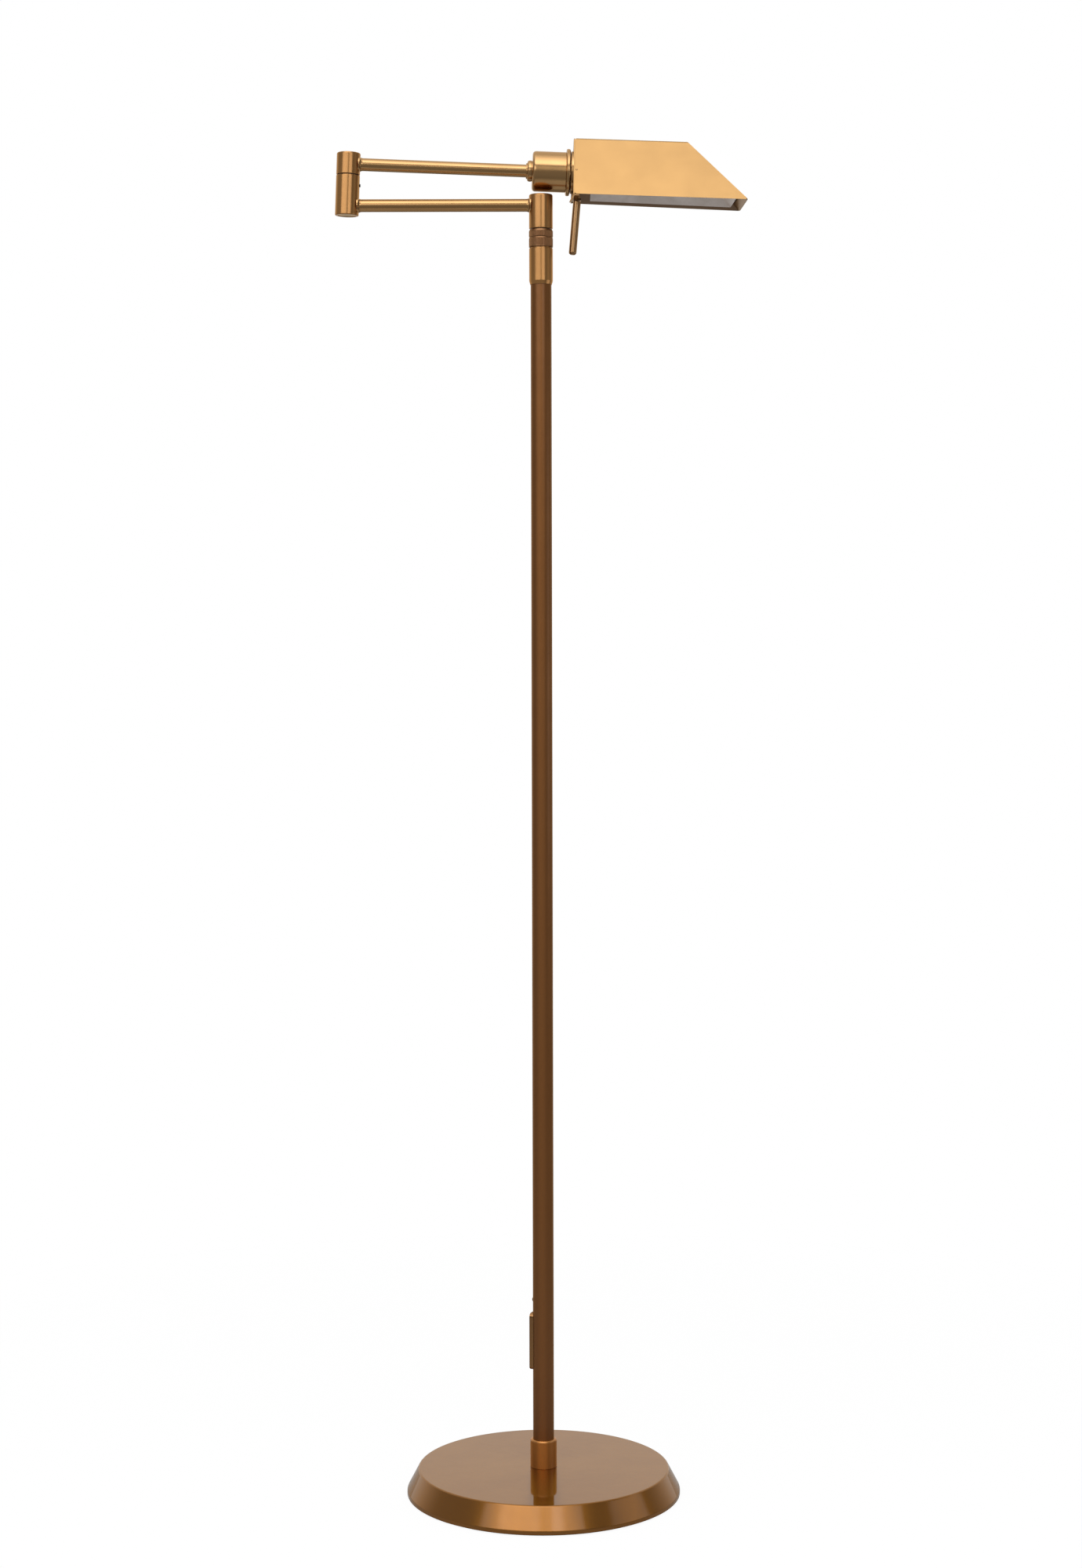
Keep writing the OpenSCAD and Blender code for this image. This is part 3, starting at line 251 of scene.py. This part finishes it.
def matt_solid(name, colour, dark, rough, grain, depth, sheen=0.0):
    """Moulded or woven solid without metal: fine grain in relief, broad noise in colour."""
    made, bench = new_material(name, colour)
    where = bench.place()
    fine = bench.noise(where, grain, 3.0, 0.6)
    broad = bench.noise(where, 60.0, 3.0, 0.6)
    shade = bench.calc("ADD", bench.calc("MULTIPLY", fine, 0.5), bench.calc("MULTIPLY", broad, 0.5))
    shader = bench.shader({"Base Color": bench.blend(bench.spread(shade, 0.38, 0.62), dark, colour),
                           "Roughness": bench.spread(fine, 0.3, 0.7, rough - 0.06, rough + 0.06),
                           "Sheen Weight": sheen, "Sheen Roughness": 0.5,
                           "Normal": bench.bump(fine, depth)})
    bench.finish(shader.outputs[0])
    return made


def porcelain(name):
    """Glazed white ceramic, a little wavy under a clear coat."""
    colour, aged = (0.80, 0.78, 0.72), (0.72, 0.69, 0.61)
    made, bench = new_material(name, colour)
    where = bench.place()
    waves = bench.noise(where, 90.0, 2.0, 0.4)
    tone = bench.noise(where, 30.0, 3.0, 0.5)
    shader = bench.shader({"Base Color": bench.blend(bench.spread(tone, 0.35, 0.7), colour, aged),
                           "Roughness": bench.spread(waves, 0.3, 0.7, 0.16, 0.26), "Coat Weight": 0.5,
                           "Coat Roughness": 0.06, "Normal": bench.bump(waves, 0.00006)})
    bench.finish(shader.outputs[0])
    return made


def frosted_glass(name):
    """Opal-frosted lamp glass: milky and half clear, with a fine etched grain."""
    colour, milky = (0.90, 0.89, 0.85), (0.82, 0.80, 0.74)
    made, bench = new_material(name, colour)
    where = bench.place()
    etch = bench.noise(where, 3000.0, 2.0, 0.6)
    cloud = bench.noise(where, 40.0, 3.0, 0.5)
    shader = bench.shader({"Base Color": bench.blend(bench.spread(cloud, 0.35, 0.7), colour, milky),
                           "Roughness": bench.spread(etch, 0.3, 0.7, 0.36, 0.5), "IOR": 1.5,
                           "Transmission Weight": 0.35, "Subsurface Weight": 0.15,
                           "Normal": bench.bump(etch, 0.00002)})
    shader.inputs["Subsurface Radius"].default_value = (0.004, 0.004, 0.004)
    bench.finish(shader.outputs[0])
    return made


def rolled_liner(name):
    """Rolled aluminium sheet: long lines down the roll, small dents from handling and a dusty bloom."""
    colour, dark = (0.84, 0.76, 0.71), (0.7, 0.62, 0.56)
    made, bench = new_material(name, colour)
    along, out, square = round_axis(bench, REACH_POINT, REACH_AXIS)
    drawn = bench.scaled(REACH_AXIS, bench.calc("MULTIPLY", along, 20.0))
    lines = bench.noise(bench.vector("ADD", bench.scaled(square, 1500.0), drawn), 1.0, 2.0)
    where = bench.place()
    bloom = bench.noise(where, 55.0, 4.0, 0.65, 0.4)
    grit = bench.noise(where, 1600.0, 2.0, 0.6)
    height = bench.calc("ADD", bench.calc("MULTIPLY", bench.noise(where, 70.0, 1.0), 6.0), lines)
    shader = bench.shader({"Base Color": bench.blend(bench.spread(bloom, 0.35, 0.7), colour, dark),
                           "Metallic": 0.7, "Normal": bench.bump(bench.calc("ADD", height, grit), 0.00004),
                           "Roughness": bench.spread(grit, 0.3, 0.7, 0.38, 0.55)})
    bench.finish(shader.outputs[0])
    return made


# Brass tones, each with the one its patina turns to.
BASE_TONES = (0.238, 0.095, 0.014), (0.195, 0.076, 0.011)
COLLAR_TONES = (0.46, 0.195, 0.048), (0.33, 0.13, 0.032)
POLE_TONES = (0.215, 0.088, 0.026), (0.155, 0.06, 0.017)
FERRULE_TONES = (0.44, 0.215, 0.068), (0.3, 0.14, 0.04)
LOCK_TONES = (0.25, 0.12, 0.048), (0.14, 0.064, 0.026)
MAST_TONES = (0.3, 0.165, 0.06), (0.22, 0.11, 0.04)
HUB_TONES = (0.42, 0.208, 0.068), (0.3, 0.14, 0.042)
LOWER_ARM_TONES = (0.4, 0.22, 0.08), (0.28, 0.145, 0.05)
UPPER_ARM_TONES = (0.42, 0.24, 0.092), (0.3, 0.16, 0.056)
CUP_TONES = (0.42, 0.24, 0.092), (0.3, 0.155, 0.052)
# The elbow foot's pale tone is painted reflection: the white floor as the cap's underside mirrors it.
ELBOW_FOOT_PAINTED_REFLECTION_TONES = (0.62, 0.47, 0.26), (0.5, 0.36, 0.18)
SHADE_TONES = (0.338, 0.192, 0.066), (0.29, 0.159, 0.051)
FITTING_TONES = (0.31, 0.172, 0.07), (0.19, 0.1, 0.04)
DIMMER_TONES = (0.28, 0.14, 0.05), (0.18, 0.085, 0.03)

# How each kind of brass piece is finished.
SPUN = dict(rough=0.34, coat=0.85, coat_rough=0.05, coat_ior=1.35, grain=0.8, patina=0.2, satin=0.4)
TURNED = dict(rough=0.3, coat=0.3, coat_rough=0.16, satin=0.6)
DRAWN = dict(rough=0.22, coat=0.5, satin=0.3)
FOLDED = dict(rough=0.36, coat=0.35, coat_rough=0.22, lay="length", grain=0.4, patina=0.16, satin=0.3)
FITTED = dict(rough=0.28, coat=0.35, coat_rough=0.2, satin=0.5)

ARM = dict(point=ARM_POINT, axis=ARM_AXIS)
ELBOW = dict(point=ELBOW_POINT, axis=ELBOW_AXIS)
REACH = dict(point=REACH_POINT, axis=REACH_AXIS)


def make_finishes():
    """Every finish of the lamp, and the nodes that wear each."""
    return [
        (lacquered_brass("spun_base_brass", *BASE_TONES, **SPUN), ["base_cover"]),
        (lacquered_brass("turned_collar_brass", *COLLAR_TONES, 0.46, 0.5, 0.1, satin=0.5), ["base_collar"]),
        (lacquered_brass("bronzed_tube", *POLE_TONES, 0.5, 0.25, 0.2, grain=0.6, satin=0.4), ["pole_tube"]),
        (lacquered_brass("ferrule_brass", *FERRULE_TONES, **TURNED), ["pole_ferrule"]),
        (lacquered_brass("lock_brass", *LOCK_TONES, 0.38, 0.25, 0.25, satin=0.2), ["lock_ring"]),
        (lacquered_brass("mast_brass", *MAST_TONES, 0.28, 0.4, 0.15), ["mast_tube"]),
        (lacquered_brass("hub_brass", *HUB_TONES, **TURNED), ["hub", "hub_cap"]),
        (lacquered_brass("lower_arm_brass", *LOWER_ARM_TONES, coat_rough=0.16, **DRAWN, **ARM),
         ["lower_arm_tube"]),
        (lacquered_brass("elbow_brass", *HUB_TONES, **TURNED, **ELBOW),
         ["lower_elbow_barrel", "upper_elbow_barrel", "elbow_top_cap"]),
        # Pale tone: painted reflection of the floor under the cap.
        (lacquered_brass("elbow_foot_painted_reflection", *ELBOW_FOOT_PAINTED_REFLECTION_TONES, 0.32, 0.2, 0.2, **ELBOW), ["elbow_bottom_cap"]),
        (lacquered_brass("upper_arm_brass", *UPPER_ARM_TONES, coat_rough=0.14, **DRAWN, **REACH),
         ["upper_arm_tube"]),
        (lacquered_brass("cup_brass", *CUP_TONES, coat_rough=0.14, **DRAWN, **REACH),
         ["lamp_cup", "cup_collar", "bead_ring", "pivot_disc", "disc_rivets"]),
        # Its inward faces get painted shade.
        (lacquered_brass("shade_brass", *SHADE_TONES, inside=SHADE_MIDDLE, **FOLDED, **REACH),
         ["shade_shell", "shade_back"]),
        (lacquered_brass("dark_fitting_brass", *FITTING_TONES, **FITTED, **REACH),
         ["shade_rivets", "handle_bracket", "bracket_rivets", "handle_rod", "handle_nut"]),
        (lacquered_brass("dimmer_brass", *DIMMER_TONES, 0.36, 0.3, 0.16, lay="length"),
         ["dimmer_cover", "dimmer_screw"]),
        (plain_metal("raw_brass", (0.6, 0.44, 0.2), (0.45, 0.31, 0.13), 0.3),
         ["mast_head", "elbow_pin", "cup_nut", "holder_contact"]),
        (plain_metal("zinc_plate", (0.55, 0.55, 0.52), (0.4, 0.4, 0.37), 0.34),
         ["tie_tube", "tie_washer", "tie_nut", "foot_plug", "pivot_clip", "wave_washer",
          "reflector_studs", "reflector_nuts"]),
        (plain_metal("blackened_steel", (0.045, 0.042, 0.04), (0.025, 0.023, 0.022), 0.4),
         ["hub_set_screw", "elbow_set_screw"]),
        (plain_metal("lamp_cap_metal", (0.62, 0.58, 0.47), (0.48, 0.43, 0.33), 0.24), ["bulb_cap"]),
        (cast_iron("sand_cast_iron"), ["base_weight"]),
        (matt_solid("felt", (0.022, 0.019, 0.017), (0.01, 0.009, 0.008), 0.93, 1800.0, 0.0004, 0.4),
         ["base_pad"]),
        (matt_solid("black_rubber", (0.016, 0.016, 0.017), (0.01, 0.01, 0.01), 0.62, 900.0, 0.00005),
         ["cord_bush", "mast_lead", "lower_arm_lead", "upper_arm_lead"]),
        (matt_solid("black_plastic", (0.014, 0.014, 0.015), (0.009, 0.009, 0.01), 0.42, 2200.0, 0.00003),
         ["dimmer_module", "dimmer_slider"]),
        (matt_solid("nylon", (0.74, 0.72, 0.64), (0.66, 0.63, 0.54), 0.5, 1200.0, 0.00003),
         ["mast_guide", "hub_washer", "lock_collet"]),
        (matt_solid("vulcanised_fibre", (0.05, 0.03, 0.018), (0.03, 0.018, 0.011), 0.7, 2000.0, 0.00005),
         ["elbow_washer"]),
        (porcelain("glazed_porcelain"), ["lampholder"]),
        (frosted_glass("frosted_lamp_glass"), ["bulb_glass"]),
        (rolled_liner("liner_sheet"), ["reflector"]),
    ]


def dress_nodes():
    """Puts each finish on its nodes."""
    for finish, names in make_finishes():
        for name in names:
            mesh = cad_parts[name].data
            mesh.materials.clear()
            mesh.materials.append(finish)


# ---------------------------------------------------------------- light, sky and floor

WHITE = (1.0, 1.0, 1.0, 1.0)
AIM = (0.0, 0.0, 1.25)
SIDE_FADE = 0.1

# Name, bearing right of the camera and height in degrees, distance, width, height, radiance, fades.
BOXES = (
    ("overhead_box", -13.0, 63.0, 8.0, 9.6, 10.8, 2.6, (0.12, 0.68, 0.16)),
    ("left_box", -30.5, 13.5, 2.45, 2.65, 1.0, 1.55, (0.15, 0.15, 0.0)),
    ("right_box", 22.0, 12.0, 2.42, 1.35, 1.0, 1.65, (0.15, 0.15, 0.0)),
    ("side_card", 78.0, -12.0, 2.0, 1.5, 0.9, 0.8, (0.15, 0.15, 0.0)))

SKY_PLAIN = 0.36                    # what rough and diffuse surfaces see
SKY_DARK, SKY_BRIGHT = 0.24, 1.0    # what glossy surfaces mirror, round the camera and behind the lamp
FLOOR_GLOW = 0.2                    # what the floor gives to all but the camera
SEEN_SHARE, GLOSSY_SHARE = 0.93, 0.6
FLOOR_RADIUS, FLOOR_RINGS, FLOOR_TURNS, FLOOR_Z = 1.2, 12, 64, -0.0003
FLOOR_FADE = (0.7, 1.15)


def soft_box(name, bearing, height, distance, width, tall, radiance, fades):
    """A rectangular lamp that faces the arms.

    Its radiance is about its power over four times its area. Across, it rises from each side as share
    times rest, up to a tenth. Upwards, it rises from its lower edge over the first of the fades, and
    falls towards its upper edge over the second, down to the third.
    """
    lamp = bpy.data.lights.new(name, "AREA")
    lamp.shape = "RECTANGLE"
    lamp.size, lamp.size_y = width, tall
    lamp.energy = radiance * 4.0 * width * tall
    lamp.use_nodes = True
    bench = Bench(lamp.node_tree)
    spot = bench.put("ShaderNodeSeparateXYZ",
                     {0: bench.put("ShaderNodeNewGeometry").outputs["Parametric"]}).outputs
    across = bench.calc("MULTIPLY", bench.calc("SUBTRACT", 1.0, spot[0]), spot[0])
    upright = bench.calc("MULTIPLY", bench.spread(spot[1], 0.0, fades[0]),
                         bench.spread(spot[1], 1.0, 1.0 - fades[1], fades[2], 1.0))
    core = bench.calc("MULTIPLY", upright, bench.spread(across, 0.0, SIDE_FADE))
    glow = bench.put("ShaderNodeEmission", {"Color": WHITE, "Strength": core})
    bench.put("ShaderNodeOutputLight", {"Surface": glow.outputs[0]})
    a, e = math.radians(bearing), math.radians(height)
    away = Vector((math.sin(a) * math.cos(e), -math.cos(a) * math.cos(e), math.sin(e)))
    stand = bpy.data.objects.new(name, lamp)
    stand.location = Vector(AIM) + away * distance
    stand.rotation_euler = away.to_track_quat("Z", "Y").to_euler()
    bpy.context.scene.collection.objects.link(stand)


def ray_marks(bench):
    """The marks of the ray that asks, and 1 where the camera looks, also through glass."""
    marks = bench.put("ShaderNodeLightPath").outputs
    return marks, bench.calc("MAXIMUM", marks["Is Camera Ray"], marks["Is Transmission Ray"])


def set_sky():
    """White where the camera looks, and for every ray also high up behind the lamp.

    Glossy surfaces mirror it bright behind the lamp, a little bright round the camera and at the far
    left, and else dark. All other rays see it plain.
    """
    world = bpy.data.worlds.new("studio")
    bpy.context.scene.world = world
    world.use_nodes = True
    bench = Bench(world.node_tree)
    look = bench.put("ShaderNodeTexCoord").outputs["Generated"]
    right, back, up = bench.put("ShaderNodeSeparateXYZ", {0: look}).outputs
    behind = bench.calc("MULTIPLY", bench.spread(back, 0.25, 0.75), bench.spread(up, -0.4, -0.05))
    before = bench.spread(back, -0.6, -0.9, 0.0, 0.1)
    left = bench.spread(right, -0.4, -0.9, 0.0, 0.2)
    pale = bench.calc("ADD", bench.calc("ADD", behind, before), left)
    mirrored = bench.spread(pale, 0.0, 1.0, SKY_DARK, SKY_BRIGHT)
    marks, seen = ray_marks(bench)
    level = bench.calc("ADD", SKY_PLAIN, bench.calc("MULTIPLY", marks["Is Glossy Ray"],
                                                    bench.calc("SUBTRACT", mirrored, SKY_PLAIN)))
    over = bench.calc("MULTIPLY", bench.spread(back, -0.1, 0.15), bench.spread(up, 0.35, 0.6))
    level = bench.calc("MAXIMUM", bench.calc("MAXIMUM", level, over), seen)
    glow = bench.put("ShaderNodeBackground", {"Color": WHITE, "Strength": level})
    bench.put("ShaderNodeOutputWorld", {"Surface": glow.outputs[0]})


def floor_mesh():
    """A round disc: points at even radii and even angles round a middle one, joined by fans, then by quads."""
    rings = np.linspace(0.0, FLOOR_RADIUS, FLOOR_RINGS + 1)[1:]
    turns = np.linspace(0.0, 2.0 * np.pi, FLOOR_TURNS, endpoint=False)
    radius, turn = np.meshgrid(rings, turns, indexing="ij")
    points = np.stack([radius * np.cos(turn), radius * np.sin(turn), np.full_like(radius, FLOOR_Z)], -1)
    points = np.vstack([[[0.0, 0.0, FLOOR_Z]], points.reshape(-1, 3)])
    i, j = np.meshgrid(np.arange(FLOOR_RINGS - 1), np.arange(FLOOR_TURNS), indexing="ij")
    inner, outer, k = 1 + i * FLOOR_TURNS, 1 + (i + 1) * FLOOR_TURNS, (j + 1) % FLOOR_TURNS
    quads = np.stack([inner + j, outer + j, outer + k, inner + k], -1)
    j = np.arange(FLOOR_TURNS)
    fans = np.stack([np.zeros_like(j), 1 + j, 1 + (j + 1) % FLOOR_TURNS], -1)
    mesh = bpy.data.meshes.new("floor")
    mesh.from_pydata(points.tolist(), [], quads.reshape(-1, 4).tolist() + fans.tolist())
    return mesh


def lay_floor():
    """A pale floor that keeps the lamp's shadow and fades into the white round it.

    To the camera it is nearly all white light, with a small share of the chalky surface for the shadow.
    """
    mesh = floor_mesh()
    floor = bpy.data.objects.new("floor", mesh)
    bpy.context.scene.collection.objects.link(floor)
    made, bench = new_material("pale_floor", (0.9, 0.9, 0.9))
    where = bench.place()
    grain = bench.noise(where, 300.0, 2.0, 0.5)
    chalk = bench.shader({"Base Color": bench.blend(grain, (0.82, 0.82, 0.82), (0.86, 0.86, 0.86)),
                          "Roughness": 0.9, "Specular IOR Level": 0.1})
    marks, seen = ray_marks(bench)
    white = bench.put("ShaderNodeEmission", {"Color": WHITE,
                                             "Strength": bench.spread(seen, 0.0, 1.0, FLOOR_GLOW, 1.0)})
    share = bench.calc("ADD", bench.calc("MULTIPLY", seen, SEEN_SHARE),
                       bench.calc("MULTIPLY", marks["Is Glossy Ray"], GLOSSY_SHARE), clamp=True)
    lit = bench.put("ShaderNodeMixShader", {0: share, 1: chalk.outputs[0], 2: white.outputs[0]})
    reach = bench.vector("LENGTH", where, out=1)
    gone = bench.calc("MAXIMUM", bench.spread(reach, *FLOOR_FADE),
                      bench.put("ShaderNodeNewGeometry").outputs["Backfacing"])
    clear = bench.put("ShaderNodeBsdfTransparent")
    shown = bench.put("ShaderNodeMixShader", {0: gone, 1: lit.outputs[0], 2: clear.outputs[0]})
    bench.finish(shown.outputs[0])
    mesh.materials.append(made)


bpy.context.scene.view_settings.view_transform = "Standard"
set_camera()
for box in BOXES:
    soft_box(*box)
set_sky()
lay_floor()
dress_nodes()

bpy.context.view_layer.update()
